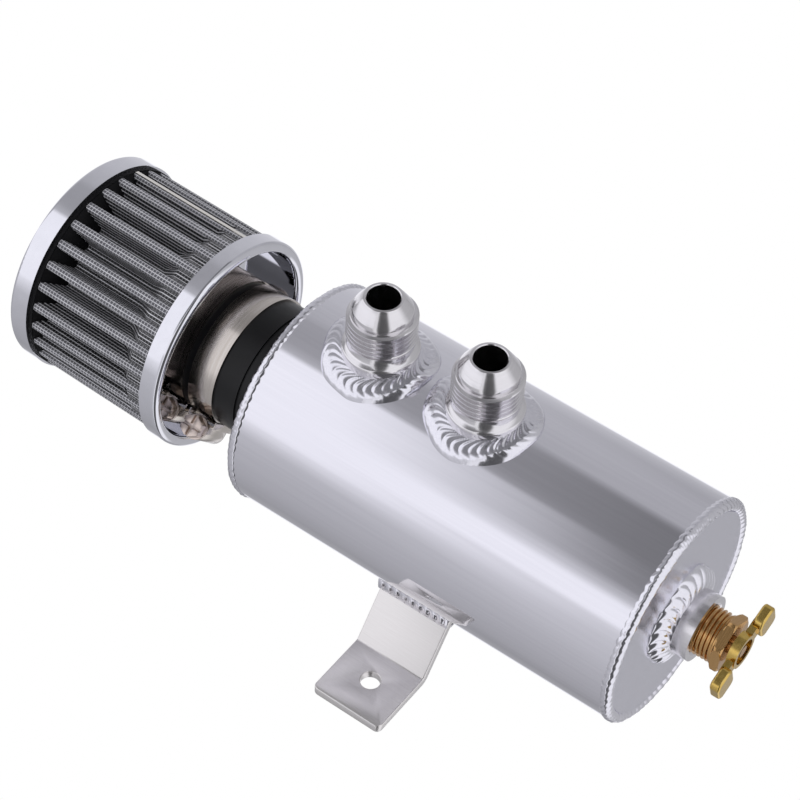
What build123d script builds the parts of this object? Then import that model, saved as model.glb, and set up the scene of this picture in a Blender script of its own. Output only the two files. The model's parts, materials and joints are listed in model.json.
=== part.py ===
from build123d import *
import os
from math import cos, radians, sin, sqrt, tan

# Oil catch can: a welded aluminium tank on a bolt-on bracket, with two hose ports, a clamped
# breather filter on its top end plate and a drain valve in its bottom one.
# Millimetres, +Z up along the tank. The origin is the middle of the bracket's hole, on the
# face that lies against the car. The hose ports point to -Y.

os.makedirs("parts", exist_ok=True)

# Tank: a length of 3 inch tube
tank_r = 38.1
tank_wall = 3.2
tank_length = 144.2
weld_gap = 0.1

# End plates, dropped into the tube and welded round their edge
plate_thickness = 3.2
plate_inset = 0.8
end_bead_r = 2.25
end_bead_inset = 1.6

# Hose ports, with a 37 degree cone for a flared hose end
port_from_top = 30.2
port_spacing = 39.0
port_reach = 62.7
port_bore_r = 5.25
port_nose_r = 6.1
port_shoulder_r = 9.4
port_cone_angle = 37.0
port_shoulder = 1.9
port_thread_r = 11.1
port_thread_length = 10.5
port_thread_chamfer = 0.9
port_waist_r = 10.5
port_waist_length = 2.6
port_root_r = 12.2
port_root_fillet = 1.6
port_inner_lip = 1.0
port_weld_gap = 1.5
port_weld_height = 3.3
port_weld_land = 0.4

# Mounting bracket: a bent flat bar, its leg in a plane through the tank's axis
bracket_angle = 126.2
bracket_reach = 62.4
bracket_thickness = 3.2
bracket_width = 26.0
bracket_height = 78.5
foot_length = 23.4
hole_r = 3.25
hole_from_bend = 10.3
bend_r = 1.0
foot_corner_r = 2.0
bracket_weld_up = 5.6
bracket_weld_out = 4.6
bracket_weld_bulge = 0.5

# Breather: a neck tube, a rubber sleeve and a pleated filter, a little off square
breather_lean = 1.5
neck_r = 19.05
neck_wall = 2.0
neck_height = 26.0
neck_weld = 3.0
neck_space = 3.0
stub_wall = 1.5
stub_lip = 1.0
sleeve_start = 3.5
sleeve_end_gap = 0.8
sleeve_wall = 3.7
sleeve_gap = 0.05
groove_height = 8.2
groove_depth = 0.6
groove_width = 1.2

# Hose clamps: a perforated band, a pressed housing and a worm screw
clamp_spacing = 12.3
cup_clearance = 0.9
band_width = 9.8
band_thickness = 0.65
band_gap = 0.02
clamp_angle = 139.0
lower_tail_length = 24.0
upper_tail_length = 8.5
housing_length = 13.0
housing_side = 0.55
housing_floor = 0.9
housing_wall = 1.0
worm_r = 2.8
worm_gap = 0.3
worm_lift = 0.45
strip_gap = 0.35
edge_gap = 0.05
screw_flange_r = 4.2
screw_flange = 0.8
screw_head = 3.4
screw_flats = 7.0
screw_slot_width = 1.1
screw_slot_depth = 1.4

# Filter: two pressed caps with a pleated element between them
clamp_clearance = 2.38
base_rim_height = 28.4
base_band = 6.9
cap_channel = 3.8
cup_depth = 11.8
sheet = 0.8
rim_round = 1.8
filter_length = 62.9
end_cap_step = 0.1
end_cap_depth = 7.4
end_cap_round = 1.3
potting_proud = 1.7
potting_lip = 4.4
potting_skirt = 0.8
pleat_count = 29
pleat_gap = 0.4
pleat_depth = 6.8
pleat_crest_width = 3.0
pleat_valley_width = 2.2
media_thickness = 1.2
media_slack = 0.1
seam_angle = -64.5
seam_width = 1.6
seam_depth = 2.4
seam_proud = 0.3
seam_gap = 0.05

# Drain: a welded boss and a brass valve with a wing handle, measured down from the tank
boss_r = 11.1
boss_length = 9.0
boss_inner_lip = 1.0
boss_chamfer = 0.8
boss_weld_out = 6.2
boss_weld_up = 4.4
boss_weld_bulge = 0.6
valve_thread_r = 8.2
thread_gap = 0.1
valve_nose = 1.0
hex_start = 15.5
hex_height = 3.2
hex_flats = 16.5
hex_angle = 30.8
hex_chamfer = 0.4
inlet_r = 1.6
seat_depth = 7.0
stem_r = 3.0
stem_gap = 0.08
seat_gap = 0.2
stem_flat = 0.8
stem_tip_r = 1.0
rivet_r = 2.0
rivet_inset = 0.4
handle_gap = 0.9
hub_height = 3.0
hub_r = 5.8
hub_web = 1.5
hub_recess_r = 4.4
wing_angle = -18.5
arm_width = 5.0
arm_drop = 0.3
arm_height = 2.4
pad_inner_r = 7.6
pad_outer_r = 15.8
pad_width = 9.4
pad_corner_r = 2.4
pad_drop = 0.7
pad_height = 3.5
pad_round = 0.8

# Where the tank stands: the bracket's hole is the origin
leg_x = cos(radians(bracket_angle))
leg_y = sin(radians(bracket_angle))
can_x = hole_from_bend - bracket_reach * leg_x
can_y = -bracket_thickness - bracket_reach * leg_y
can = Plane(origin=(can_x, can_y, -bracket_height))
can_top = can.offset(tank_length)
lean_x = sin(radians(breather_lean))
lean_z = cos(radians(breather_lean))
breather = Plane(origin=can_top.origin, x_dir=(lean_z, 0, -lean_x), z_dir=(lean_x, 0, lean_z))
drain = Plane(origin=can.origin, x_dir=(1, 0, 0), z_dir=(0, 0, -1))
tank_bore_r = tank_r - tank_wall
end_bead_ring_r = tank_r - end_bead_inset
upper_port_height = tank_length - port_from_top
lower_port_height = upper_port_height - port_spacing


def section(plane):
    # A plane through the given plane's axis: across it is local x, along it is local y
    return Plane(origin=plane.origin, x_dir=plane.x_dir, z_dir=-plane.y_dir)


def axis_of(plane):
    return Axis(plane.origin, plane.z_dir)


def turned(plane, angle):
    # The same plane, turned about its own axis
    x_dir = plane.x_dir.rotate(Axis((0, 0, 0), plane.z_dir), angle)
    return Plane(origin=plane.origin, x_dir=x_dir, z_dir=plane.z_dir)


def port_plane(height):
    return Plane(origin=can.offset(height).origin, x_dir=(1, 0, 0), z_dir=(0, -1, 0))


lower_port_plane = port_plane(lower_port_height)
upper_port_plane = port_plane(upper_port_height)

# Tank tube, cut for the shanks of the two ports
with BuildPart() as tank_tube:
    with BuildSketch(can.offset(end_bead_r)):
        Circle(tank_r)
        Circle(tank_bore_r, mode=Mode.SUBTRACT)
    extrude(amount=tank_length - 2 * end_bead_r)
    with BuildSketch(lower_port_plane, upper_port_plane):
        Circle(port_root_r + weld_gap)
    extrude(amount=tank_r + 1, mode=Mode.SUBTRACT)
tank_tube.part.label = "tank_tube"
export_step(tank_tube.part, "parts/tank_tube.step")

# Bottom end plate, with the hole for the drain boss
with BuildPart() as bottom_end_plate:
    with BuildSketch(can.offset(plate_inset)):
        Circle(tank_bore_r - weld_gap)
        Circle(boss_r + weld_gap, mode=Mode.SUBTRACT)
    extrude(amount=plate_thickness)
bottom_end_plate.part.label = "bottom_end_plate"
export_step(bottom_end_plate.part, "parts/bottom_end_plate.step")

# Top end plate, with the hole for the breather's neck
with BuildPart() as top_end_plate:
    with BuildSketch(can.offset(tank_length - plate_inset - plate_thickness)):
        Circle(tank_bore_r - weld_gap)
    extrude(amount=plate_thickness)
    with BuildSketch(breather.offset(-2 * plate_thickness)):
        Circle(neck_r + weld_gap)
    extrude(amount=3 * plate_thickness, mode=Mode.SUBTRACT)
top_end_plate.part.label = "top_end_plate"
export_step(top_end_plate.part, "parts/top_end_plate.step")

# End weld: a round bead over the seam between the tube's end and the plate
with BuildPart() as bottom_end_weld:
    with BuildSketch(section(can)):
        with Locations((end_bead_ring_r, end_bead_r)):
            Circle(end_bead_r)
        with Locations((tank_bore_r, end_bead_r)):
            Rectangle(tank_wall, tank_length, align=(Align.MIN, Align.MIN), mode=Mode.SUBTRACT)
        with Locations((0, plate_inset)):
            Rectangle(tank_bore_r, tank_length, align=(Align.MIN, Align.MIN), mode=Mode.SUBTRACT)
    revolve(axis=axis_of(can))
bottom_end_weld.part.label = "bottom_end_weld"
export_step(bottom_end_weld.part, "parts/bottom_end_weld.step")

with BuildPart() as top_end_weld:
    add(bottom_end_weld.part)
    mirror(about=can.offset(tank_length / 2), mode=Mode.REPLACE)
top_end_weld.part.label = "top_end_weld"
export_step(top_end_weld.part, "parts/top_end_weld.step")

# Hose port: cone, shoulder, thread and waist, on a wider shank that passes the tank's wall
cone_length = (port_shoulder_r - port_nose_r) / tan(radians(port_cone_angle))
shoulder_top = port_reach - cone_length
thread_top = shoulder_top - port_shoulder
thread_end = thread_top - port_thread_length
waist_end = thread_end - port_waist_length
shank_end = sqrt(tank_bore_r**2 - port_root_r**2) - port_inner_lip

with BuildPart() as lower_port:
    with BuildSketch(section(lower_port_plane)):
        with BuildLine():
            Polyline(
                (port_bore_r, shank_end),
                (port_root_r, shank_end),
                (port_root_r, waist_end - port_root_fillet),
            )
            RadiusArc(
                (port_root_r, waist_end - port_root_fillet),
                (port_waist_r, waist_end),
                port_root_r - port_waist_r + port_root_fillet,
            )
            Polyline(
                (port_waist_r, waist_end),
                (port_waist_r, thread_end),
                (port_thread_r, thread_end),
                (port_thread_r, thread_top - port_thread_chamfer),
                (port_thread_r - port_thread_chamfer, thread_top),
                (port_shoulder_r, thread_top),
                (port_shoulder_r, shoulder_top),
                (port_nose_r, port_reach),
                (port_bore_r, port_reach),
                (port_bore_r, shank_end),
            )
        make_face()
    revolve(axis=axis_of(lower_port_plane))
lower_port.part.label = "lower_port"
export_step(lower_port.part, "parts/lower_port.step")

with BuildPart() as upper_port:
    add(lower_port.part.moved(Location((0, 0, port_spacing))))
upper_port.part.label = "upper_port"
export_step(upper_port.part, "parts/upper_port.step")

# Port weld: a wide rounded pad that follows the tank's curve round the port's shank
port_weld_r = port_spacing / 2 - port_weld_gap
port_weld_round = min((port_weld_r - port_root_r) / 2, port_weld_height - port_weld_land)

with BuildPart() as lower_port_weld:
    with BuildSketch(lower_port_plane):
        Circle(port_weld_r)
        Circle(port_root_r, mode=Mode.SUBTRACT)
    extrude(amount=port_reach)
    with BuildSketch(can):
        Circle(tank_r + port_weld_height)
    extrude(amount=tank_length, mode=Mode.INTERSECT)
    with BuildSketch(can):
        Circle(tank_r)
    extrude(amount=tank_length, mode=Mode.SUBTRACT)
    fillet(lower_port_weld.edges().sort_by(SortBy.LENGTH)[-2], port_weld_round)
lower_port_weld.part.label = "lower_port_weld"
export_step(lower_port_weld.part, "parts/lower_port_weld.step")

with BuildPart() as upper_port_weld:
    add(lower_port_weld.part.moved(Location((0, 0, port_spacing))))
upper_port_weld.part.label = "upper_port_weld"
export_step(upper_port_weld.part, "parts/upper_port_weld.step")

# Bracket: the leg's end is coped to the tank, its foot lies flat against the car
leg = Plane(origin=can.origin, x_dir=(leg_x, leg_y, 0), z_dir=(0, 0, 1))
bracket_low = bracket_height - bracket_width / 2
bend_inner = Vector(hole_from_bend, -bracket_thickness)
across_leg = Vector(leg_y, -leg_x) * bracket_thickness
root_inner = bend_inner - Vector(leg_x, leg_y) * (bracket_reach - tank_bore_r)
root_outer = root_inner + across_leg
outer_corner = bend_inner + across_leg
outer_corner = outer_corner - Vector(leg_x, leg_y) * (outer_corner.Y / leg_y)
foot_tip = hole_from_bend - foot_length

with BuildPart() as bracket:
    with BuildSketch(Plane.XY.offset(-bracket_width / 2)) as bracket_outline:
        with BuildLine():
            Polyline(
                (foot_tip, 0),
                (foot_tip, -bracket_thickness),
                bend_inner,
                root_inner,
                root_outer,
                outer_corner,
                close=True,
            )
        make_face()
        inner_vertex = bracket_outline.vertices().sort_by_distance(bend_inner)[0]
        fillet(inner_vertex, bend_r)
        outer_vertex = bracket_outline.vertices().sort_by_distance(outer_corner)[0]
        fillet(outer_vertex, bend_r + bracket_thickness)
    extrude(amount=bracket_width)
    with BuildSketch(can):
        Circle(tank_r)
    extrude(amount=tank_length, mode=Mode.SUBTRACT)
    with BuildSketch(Plane.XZ):
        Circle(hole_r)
    extrude(amount=bracket_thickness, mode=Mode.SUBTRACT)
    fillet(bracket.edges().filter_by(Axis.Y).group_by(Axis.X)[0], foot_corner_r)
bracket.part.label = "bracket"
export_step(bracket.part, "parts/bracket.step")

# Bracket welds: a fillet bead on each side of the leg
tank_side = sqrt(tank_r**2 - bracket_weld_out**2)
far_out = bracket_thickness + bracket_weld_out
tank_far_side = sqrt(tank_r**2 - far_out**2)

with BuildPart() as near_bracket_weld:
    with BuildSketch(leg.offset(bracket_low)):
        with BuildLine():
            Polyline(
                (tank_side, bracket_weld_out),
                (tank_bore_r, bracket_weld_out),
                (tank_bore_r, 0),
                (tank_r + bracket_weld_up, 0),
            )
            SagittaArc(
                (tank_r + bracket_weld_up, 0), (tank_side, bracket_weld_out), bracket_weld_bulge
            )
        make_face()
    extrude(amount=bracket_width)
    with BuildSketch(can):
        Circle(tank_r)
    extrude(amount=tank_length, mode=Mode.SUBTRACT)
near_bracket_weld.part.label = "near_bracket_weld"
export_step(near_bracket_weld.part, "parts/near_bracket_weld.step")

with BuildPart() as far_bracket_weld:
    with BuildSketch(leg.offset(bracket_low)):
        with BuildLine():
            Polyline(
                (tank_far_side, -far_out),
                (tank_bore_r - 1, -far_out),
                (tank_bore_r - 1, -bracket_thickness),
                (tank_r + bracket_weld_up, -bracket_thickness),
            )
            SagittaArc(
                (tank_r + bracket_weld_up, -bracket_thickness),
                (tank_far_side, -far_out),
                -bracket_weld_bulge,
            )
        make_face()
    extrude(amount=bracket_width)
    with BuildSketch(can):
        Circle(tank_r)
    extrude(amount=tank_length, mode=Mode.SUBTRACT)
far_bracket_weld.part.label = "far_bracket_weld"
export_step(far_bracket_weld.part, "parts/far_bracket_weld.step")

# Neck tube, through the top plate and trimmed flush inside it
plate_top = tank_length - plate_inset
neck_root = -plate_inset - plate_thickness

with BuildPart() as breather_neck:
    with BuildSketch(breather.offset(2 * neck_root)):
        Circle(neck_r)
        Circle(neck_r - neck_wall, mode=Mode.SUBTRACT)
    extrude(amount=neck_height - 2 * neck_root)
    with BuildSketch(can_top.offset(neck_root)):
        Circle(tank_bore_r)
    extrude(amount=-tank_bore_r, mode=Mode.SUBTRACT)
breather_neck.part.label = "breather_neck"
export_step(breather_neck.part, "parts/breather_neck.step")

with BuildPart() as breather_neck_weld:
    with BuildSketch(section(breather)):
        with BuildLine():
            Polyline(
                (neck_r, neck_root),
                (neck_r + neck_weld, neck_root),
                (neck_r + neck_weld, -plate_inset),
                (neck_r, neck_weld - plate_inset),
                close=True,
            )
        make_face()
    revolve(axis=axis_of(breather))
    with BuildSketch(can_top.offset(-plate_inset)):
        Circle(tank_bore_r)
    extrude(amount=-tank_bore_r, mode=Mode.SUBTRACT)
breather_neck_weld.part.label = "breather_neck_weld"
export_step(breather_neck_weld.part, "parts/breather_neck_weld.step")

# Rubber sleeve, with a moulded groove near the tank, up to the floor of the filter's cup
sleeve_r = neck_r + sleeve_wall
cup_floor_height = base_rim_height + cup_depth
sleeve_end = cup_floor_height - sleeve_end_gap
with BuildPart() as rubber_sleeve:
    with BuildSketch(breather.offset(sleeve_start)):
        Circle(sleeve_r)
        Circle(neck_r + sleeve_gap, mode=Mode.SUBTRACT)
    extrude(amount=sleeve_end - sleeve_start)
    with BuildSketch(breather.offset(groove_height - groove_width / 2)):
        Circle(sleeve_r)
        Circle(sleeve_r - groove_depth, mode=Mode.SUBTRACT)
    extrude(amount=groove_width, mode=Mode.SUBTRACT)
rubber_sleeve.part.label = "rubber_sleeve"
export_step(rubber_sleeve.part, "parts/rubber_sleeve.step")

# How far the clamps reach out from the sleeve's axis
band_inner_r = sleeve_r + band_gap
band_r = band_inner_r + band_thickness
strip_top = band_r + band_thickness
worm_reach = strip_top + worm_lift + worm_r
slot_top = strip_top + strip_gap
side_reach = band_width / 2 + edge_gap + housing_side
cavity_r = worm_r + worm_gap
dome_r = cavity_r + housing_wall

# Filter's own neck stub, rolled out over the floor of the base cap
stub_start = neck_height + neck_space
stub_end = cup_floor_height + sheet + stub_lip
with BuildPart() as filter_neck_stub:
    with BuildSketch(breather.offset(stub_start)):
        Circle(neck_r)
        Circle(neck_r - stub_wall, mode=Mode.SUBTRACT)
    extrude(amount=stub_end - stub_start)
filter_neck_stub.part.label = "filter_neck_stub"
export_step(filter_neck_stub.part, "parts/filter_neck_stub.step")

# Base cap: a pressed cup whose rim rolls back into the band that holds the pleats
base_band_end = base_rim_height + base_band
cup_r = worm_reach + dome_r + clamp_clearance
base_cap_r = cup_r + cap_channel
with BuildPart() as filter_base_cap:
    with BuildSketch(section(breather)) as base_cap_profile:
        with BuildLine():
            Polyline(
                (base_cap_r, base_band_end),
                (base_cap_r, base_rim_height),
                (cup_r, base_rim_height),
                (cup_r, cup_floor_height),
                (neck_r, cup_floor_height),
                (neck_r, cup_floor_height + sheet),
                (cup_r + sheet, cup_floor_height + sheet),
                (cup_r + sheet, base_rim_height + sheet),
                (base_cap_r - sheet, base_rim_height + sheet),
                (base_cap_r - sheet, base_band_end),
                close=True,
            )
        make_face()
        fillet(base_cap_profile.vertices().group_by(Axis.Y)[1], rim_round - sheet)
        fillet(base_cap_profile.vertices().group_by(Axis.Y)[0], rim_round)
    revolve(axis=axis_of(breather))
filter_base_cap.part.label = "filter_base_cap"
export_step(filter_base_cap.part, "parts/filter_base_cap.step")

# Base potting: rubber compound in the band's channel, and a skirt up the cup's wall
with BuildPart() as base_potting:
    with BuildSketch(section(breather)) as base_potting_profile:
        with BuildLine():
            Polyline(
                (cup_r + sheet, base_rim_height + sheet),
                (base_cap_r - sheet, base_rim_height + sheet),
                (base_cap_r - sheet, base_band_end),
                (cup_r + sheet + potting_skirt, base_band_end),
                (cup_r + sheet + potting_skirt, cup_floor_height + sheet),
                (cup_r + sheet, cup_floor_height + sheet),
                close=True,
            )
        make_face()
        fillet(base_potting_profile.vertices().group_by(Axis.Y)[0], rim_round - sheet)
    revolve(axis=axis_of(breather))
base_potting.part.label = "base_potting"
export_step(base_potting.part, "parts/base_potting.step")

# End cap: a pressed lid over the far ends of the pleats
end_cap_r = base_cap_r - end_cap_step
end_cap_height = base_rim_height + filter_length
end_cap_start = end_cap_height - end_cap_depth
with BuildPart() as filter_end_cap:
    with BuildSketch(section(breather)) as end_cap_profile:
        with BuildLine():
            Polyline(
                (0, end_cap_height),
                (end_cap_r, end_cap_height),
                (end_cap_r, end_cap_start),
                (end_cap_r - sheet, end_cap_start),
                (end_cap_r - sheet, end_cap_height - sheet),
                (0, end_cap_height - sheet),
                close=True,
            )
        make_face()
        outer_corner_point = end_cap_profile.vertices().sort_by(Axis.Y).group_by(Axis.Y)[-1]
        fillet(outer_corner_point.sort_by(Axis.X)[-1], end_cap_round)
    revolve(axis=axis_of(breather))
filter_end_cap.part.label = "filter_end_cap"
export_step(filter_end_cap.part, "parts/filter_end_cap.step")

# End potting: a thick rubber ring that seals the pleats into the end cap
pleat_r = base_cap_r - sheet - pleat_gap
valley_r = pleat_r - pleat_depth
inner_valley_r = valley_r - media_thickness
potting_start = end_cap_start - potting_proud
potting_bore_r = inner_valley_r - potting_lip
with BuildPart() as end_potting:
    with BuildSketch(breather.offset(potting_start)):
        Circle(end_cap_r - sheet)
        Circle(potting_bore_r, mode=Mode.SUBTRACT)
    extrude(amount=end_cap_height - sheet - potting_start)
end_potting.part.label = "end_potting"
export_step(end_potting.part, "parts/end_potting.step")

# Pleated element: one fold of the mesh, repeated round the filter. A fold is drawn about the
# local x axis, from the middle of one valley over its crest to the middle of the next.
pleat_turn = 360 / pleat_count
half_turn = radians(pleat_turn / 2)
inner_crest_r = pleat_r - media_thickness
crest_half = pleat_crest_width / 2
valley_half = pleat_valley_width / 2
thinning = media_thickness / cos(half_turn) * 0.85


def by_valley(radius, sideways, side):
    # A point beside the valley on one side of the fold, measured from the valley's middle line
    x = radius * cos(half_turn) + sideways * sin(half_turn)
    y = radius * sin(half_turn) - sideways * cos(half_turn)
    return (x, side * y)


with BuildSketch() as pleat_fold:
    with BuildLine():
        Polyline(
            by_valley(valley_r, 0, 1),
            by_valley(valley_r, valley_half, 1),
            (pleat_r, crest_half),
            (pleat_r, -crest_half),
            by_valley(valley_r, valley_half, -1),
            by_valley(valley_r, 0, -1),
            by_valley(inner_valley_r, 0, -1),
            by_valley(inner_valley_r, valley_half + thinning, -1),
            (inner_crest_r, thinning - crest_half),
            (inner_crest_r, crest_half - thinning),
            by_valley(inner_valley_r, valley_half + thinning, 1),
            by_valley(inner_valley_r, 0, 1),
            close=True,
        )
    make_face()

# The crests reach down over the cup's wall into the base band. The inner part of the pleats
# ends on the cup's floor, and one crest is slit for the seam strip.
skirt_r = cup_r + sheet + potting_skirt
seam_inner_r = pleat_r - seam_depth
seam_outer_r = pleat_r + seam_proud
seam_plane = turned(breather.offset(base_band_end), seam_angle)
with BuildPart() as pleated_media:
    with BuildSketch(seam_plane):
        with PolarLocations(0, pleat_count):
            add(pleat_fold.sketch)
    extrude(amount=potting_start - base_band_end)
    with BuildSketch(seam_plane):
        Circle(skirt_r + media_slack)
    extrude(amount=cup_floor_height + sheet - base_band_end, mode=Mode.SUBTRACT)
    with BuildSketch(seam_plane):
        with Locations((seam_inner_r - seam_gap, 0)):
            Rectangle(pleat_r, seam_width + 2 * seam_gap, align=(Align.MIN, Align.CENTER))
    extrude(amount=potting_start - base_band_end, mode=Mode.SUBTRACT)
pleated_media.part.label = "pleated_media"
export_step(pleated_media.part, "parts/pleated_media.step")

# Seam strip: a bright crimp along the crest where the two ends of the mesh meet
with BuildPart() as seam_strip:
    with BuildSketch(seam_plane):
        with Locations((seam_inner_r, 0)):
            Rectangle(seam_depth + seam_proud, seam_width, align=(Align.MIN, Align.CENTER))
    extrude(amount=potting_start - base_band_end)
    with BuildSketch(seam_plane):
        Circle(skirt_r + seam_gap)
    extrude(amount=cup_floor_height + sheet - base_band_end, mode=Mode.SUBTRACT)
seam_strip.part.label = "seam_strip"
export_step(seam_strip.part, "parts/seam_strip.step")

# Clamp: local x points out through the housing, local y along the worm screw to its head
upper_clamp_height = cup_floor_height - band_width / 2 - cup_clearance


def clamp_plane(height):
    return turned(breather.offset(height), clamp_angle)


def across_clamp(plane, along):
    # The plane square to the worm screw: its local x still points out through the housing
    origin = plane.origin + plane.y_dir * along
    return Plane(origin=origin, x_dir=plane.x_dir, z_dir=plane.y_dir)


lower_clamp = clamp_plane(upper_clamp_height - clamp_spacing)
upper_clamp = clamp_plane(upper_clamp_height)

# Clamp bands, closed round the sleeve. The free end runs out straight under the housing
clamps = (
    ("lower_clamp_band", lower_clamp, lower_tail_length),
    ("upper_clamp_band", upper_clamp, upper_tail_length),
)
for label, clamp, tail_length in clamps:
    tail_plane = Plane(origin=clamp.origin, x_dir=clamp.y_dir, z_dir=clamp.x_dir)
    with BuildPart() as clamp_band:
        with BuildSketch(clamp.offset(-band_width / 2)):
            Circle(band_r)
            Circle(band_inner_r, mode=Mode.SUBTRACT)
        extrude(amount=band_width)
        with BuildSketch(tail_plane.offset(band_r - edge_gap)):
            with Locations((worm_r, 0)):
                Rectangle(
                    worm_r + tail_length - band_width / 2,
                    band_width,
                    align=(Align.MAX, Align.CENTER),
                )
            with Locations((band_width / 2 - tail_length, 0)):
                Circle(band_width / 2)
        extrude(amount=band_thickness + edge_gap)
    clamp_band.part.label = label
    export_step(clamp_band.part, f"parts/{label}.step")

# Clamp housing: a bridge over the band with a dome round the worm screw
with BuildPart() as lower_clamp_housing:
    with BuildSketch(across_clamp(lower_clamp, -housing_length / 2)):
        with Locations((sleeve_r + 2 * edge_gap, 0)):
            Rectangle(
                slot_top + housing_floor - sleeve_r - 2 * edge_gap,
                2 * side_reach,
                align=(Align.MIN, Align.CENTER),
            )
        with Locations((slot_top, 0)):
            Rectangle(worm_reach - slot_top, 2 * dome_r, align=(Align.MIN, Align.CENTER))
        with Locations((worm_reach, 0)):
            Circle(dome_r)
            Circle(cavity_r, mode=Mode.SUBTRACT)
        Rectangle(
            slot_top,
            band_width + 2 * edge_gap,
            align=(Align.MIN, Align.CENTER),
            mode=Mode.SUBTRACT,
        )
    extrude(amount=housing_length)
lower_clamp_housing.part.label = "lower_clamp_housing"
export_step(lower_clamp_housing.part, "parts/lower_clamp_housing.step")

clamp_shift = breather.z_dir * clamp_spacing
with BuildPart() as upper_clamp_housing:
    add(lower_clamp_housing.part.moved(Location(clamp_shift)))
upper_clamp_housing.part.label = "upper_clamp_housing"
export_step(upper_clamp_housing.part, "parts/upper_clamp_housing.step")

# Worm screw: the worm, a flange against the housing and a hexagon head with a cross slot
flange_start = housing_length / 2 + worm_gap
head_start = flange_start + screw_flange
head_end = head_start + screw_head
with BuildPart() as lower_clamp_screw:
    with BuildSketch(across_clamp(lower_clamp, worm_gap - housing_length / 2)):
        with Locations((worm_reach, 0)):
            Circle(worm_r)
    extrude(amount=head_start + housing_length / 2 - worm_gap)
    with BuildSketch(across_clamp(lower_clamp, flange_start)):
        with Locations((worm_reach, 0)):
            Circle(screw_flange_r)
    extrude(amount=screw_flange)
    with BuildSketch(across_clamp(lower_clamp, head_start)):
        with Locations((worm_reach, 0)):
            RegularPolygon(screw_flats / 2, 6, major_radius=False)
    extrude(amount=screw_head)
    with BuildSketch(across_clamp(lower_clamp, head_end)):
        with Locations((worm_reach, 0)):
            Rectangle(2 * screw_flats, screw_slot_width)
            Rectangle(screw_slot_width, 2 * screw_flats)
    extrude(amount=-screw_slot_depth, mode=Mode.SUBTRACT)
lower_clamp_screw.part.label = "lower_clamp_screw"
export_step(lower_clamp_screw.part, "parts/lower_clamp_screw.step")

with BuildPart() as upper_clamp_screw:
    add(lower_clamp_screw.part.moved(Location(clamp_shift)))
upper_clamp_screw.part.label = "upper_clamp_screw"
export_step(upper_clamp_screw.part, "parts/upper_clamp_screw.step")

# Drain boss, through the bottom plate
boss_start = -plate_inset - plate_thickness - boss_inner_lip
with BuildPart() as drain_boss:
    with BuildSketch(drain.offset(boss_start)):
        Circle(boss_r)
        Circle(valve_thread_r + thread_gap, mode=Mode.SUBTRACT)
    extrude(amount=boss_length - boss_start)
    mouth_edges = drain_boss.edges().group_by(Axis.Z)[0]
    chamfer(mouth_edges.sort_by(SortBy.LENGTH)[0], boss_chamfer)
drain_boss.part.label = "drain_boss"
export_step(drain_boss.part, "parts/drain_boss.step")

with BuildPart() as drain_boss_weld:
    with BuildSketch(section(drain)):
        with BuildLine():
            Polyline(
                (boss_r, boss_weld_up - plate_inset),
                (boss_r, -plate_inset),
                (boss_r + boss_weld_out, -plate_inset),
            )
            SagittaArc(
                (boss_r + boss_weld_out, -plate_inset),
                (boss_r, boss_weld_up - plate_inset),
                -boss_weld_bulge,
            )
        make_face()
    revolve(axis=axis_of(drain))
drain_boss_weld.part.label = "drain_boss_weld"
export_step(drain_boss_weld.part, "parts/drain_boss_weld.step")

# Valve body: a threaded nose and a hexagon, bored for the stem, with a conical seat
seat_top = seat_depth - (stem_r + stem_gap - inlet_r)
hex_end = hex_start + hex_height
with BuildPart() as valve_body:
    with BuildSketch(drain.offset(valve_nose)):
        Circle(valve_thread_r)
    extrude(amount=hex_start - valve_nose)
    with BuildSketch(turned(drain, hex_angle).offset(hex_start)):
        RegularPolygon(hex_flats / 2, 6, major_radius=False)
    extrude(amount=hex_end - hex_start)
    with BuildSketch(section(drain)):
        with BuildLine():
            Polyline(
                (0, 0),
                (inlet_r, 0),
                (inlet_r, seat_top),
                (stem_r + stem_gap, seat_depth),
                (stem_r + stem_gap, hex_end + 1),
                (0, hex_end + 1),
                close=True,
            )
        make_face()
    revolve(axis=axis_of(drain), mode=Mode.SUBTRACT)
    hex_faces = valve_body.faces().filter_by(Axis.Z).group_by(Axis.Z)[0]
    chamfer(hex_faces[0].outer_wire().edges(), hex_chamfer)
valve_body.part.label = "valve_body"
export_step(valve_body.part, "parts/valve_body.step")

# Valve stem: a cone that closes the seat, a milled flat that lets the oil past, a riveted end
tip_depth = seat_depth - (stem_r + stem_gap - stem_tip_r) + seat_gap
cone_end = tip_depth + stem_r - stem_tip_r
hub_start = hex_end + handle_gap
hub_end = hub_start + hub_height
with BuildPart() as valve_stem:
    with BuildSketch(section(drain)):
        with BuildLine():
            Polyline(
                (0, tip_depth),
                (stem_tip_r, tip_depth),
                (stem_r, cone_end),
                (stem_r, hub_start - stem_gap),
                (rivet_r, hub_start - stem_gap),
                (rivet_r, hub_end - rivet_inset),
                (0, hub_end - rivet_inset),
                close=True,
            )
        make_face()
    revolve(axis=axis_of(drain))
    with BuildSketch(drain.offset(cone_end)):
        with Locations((stem_r - stem_flat, 0)):
            Rectangle(stem_r, 2 * stem_r, align=(Align.MIN, Align.CENTER))
    extrude(amount=hub_start - cone_end, mode=Mode.SUBTRACT)
valve_stem.part.label = "valve_stem"
export_step(valve_stem.part, "parts/valve_stem.step")

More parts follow.
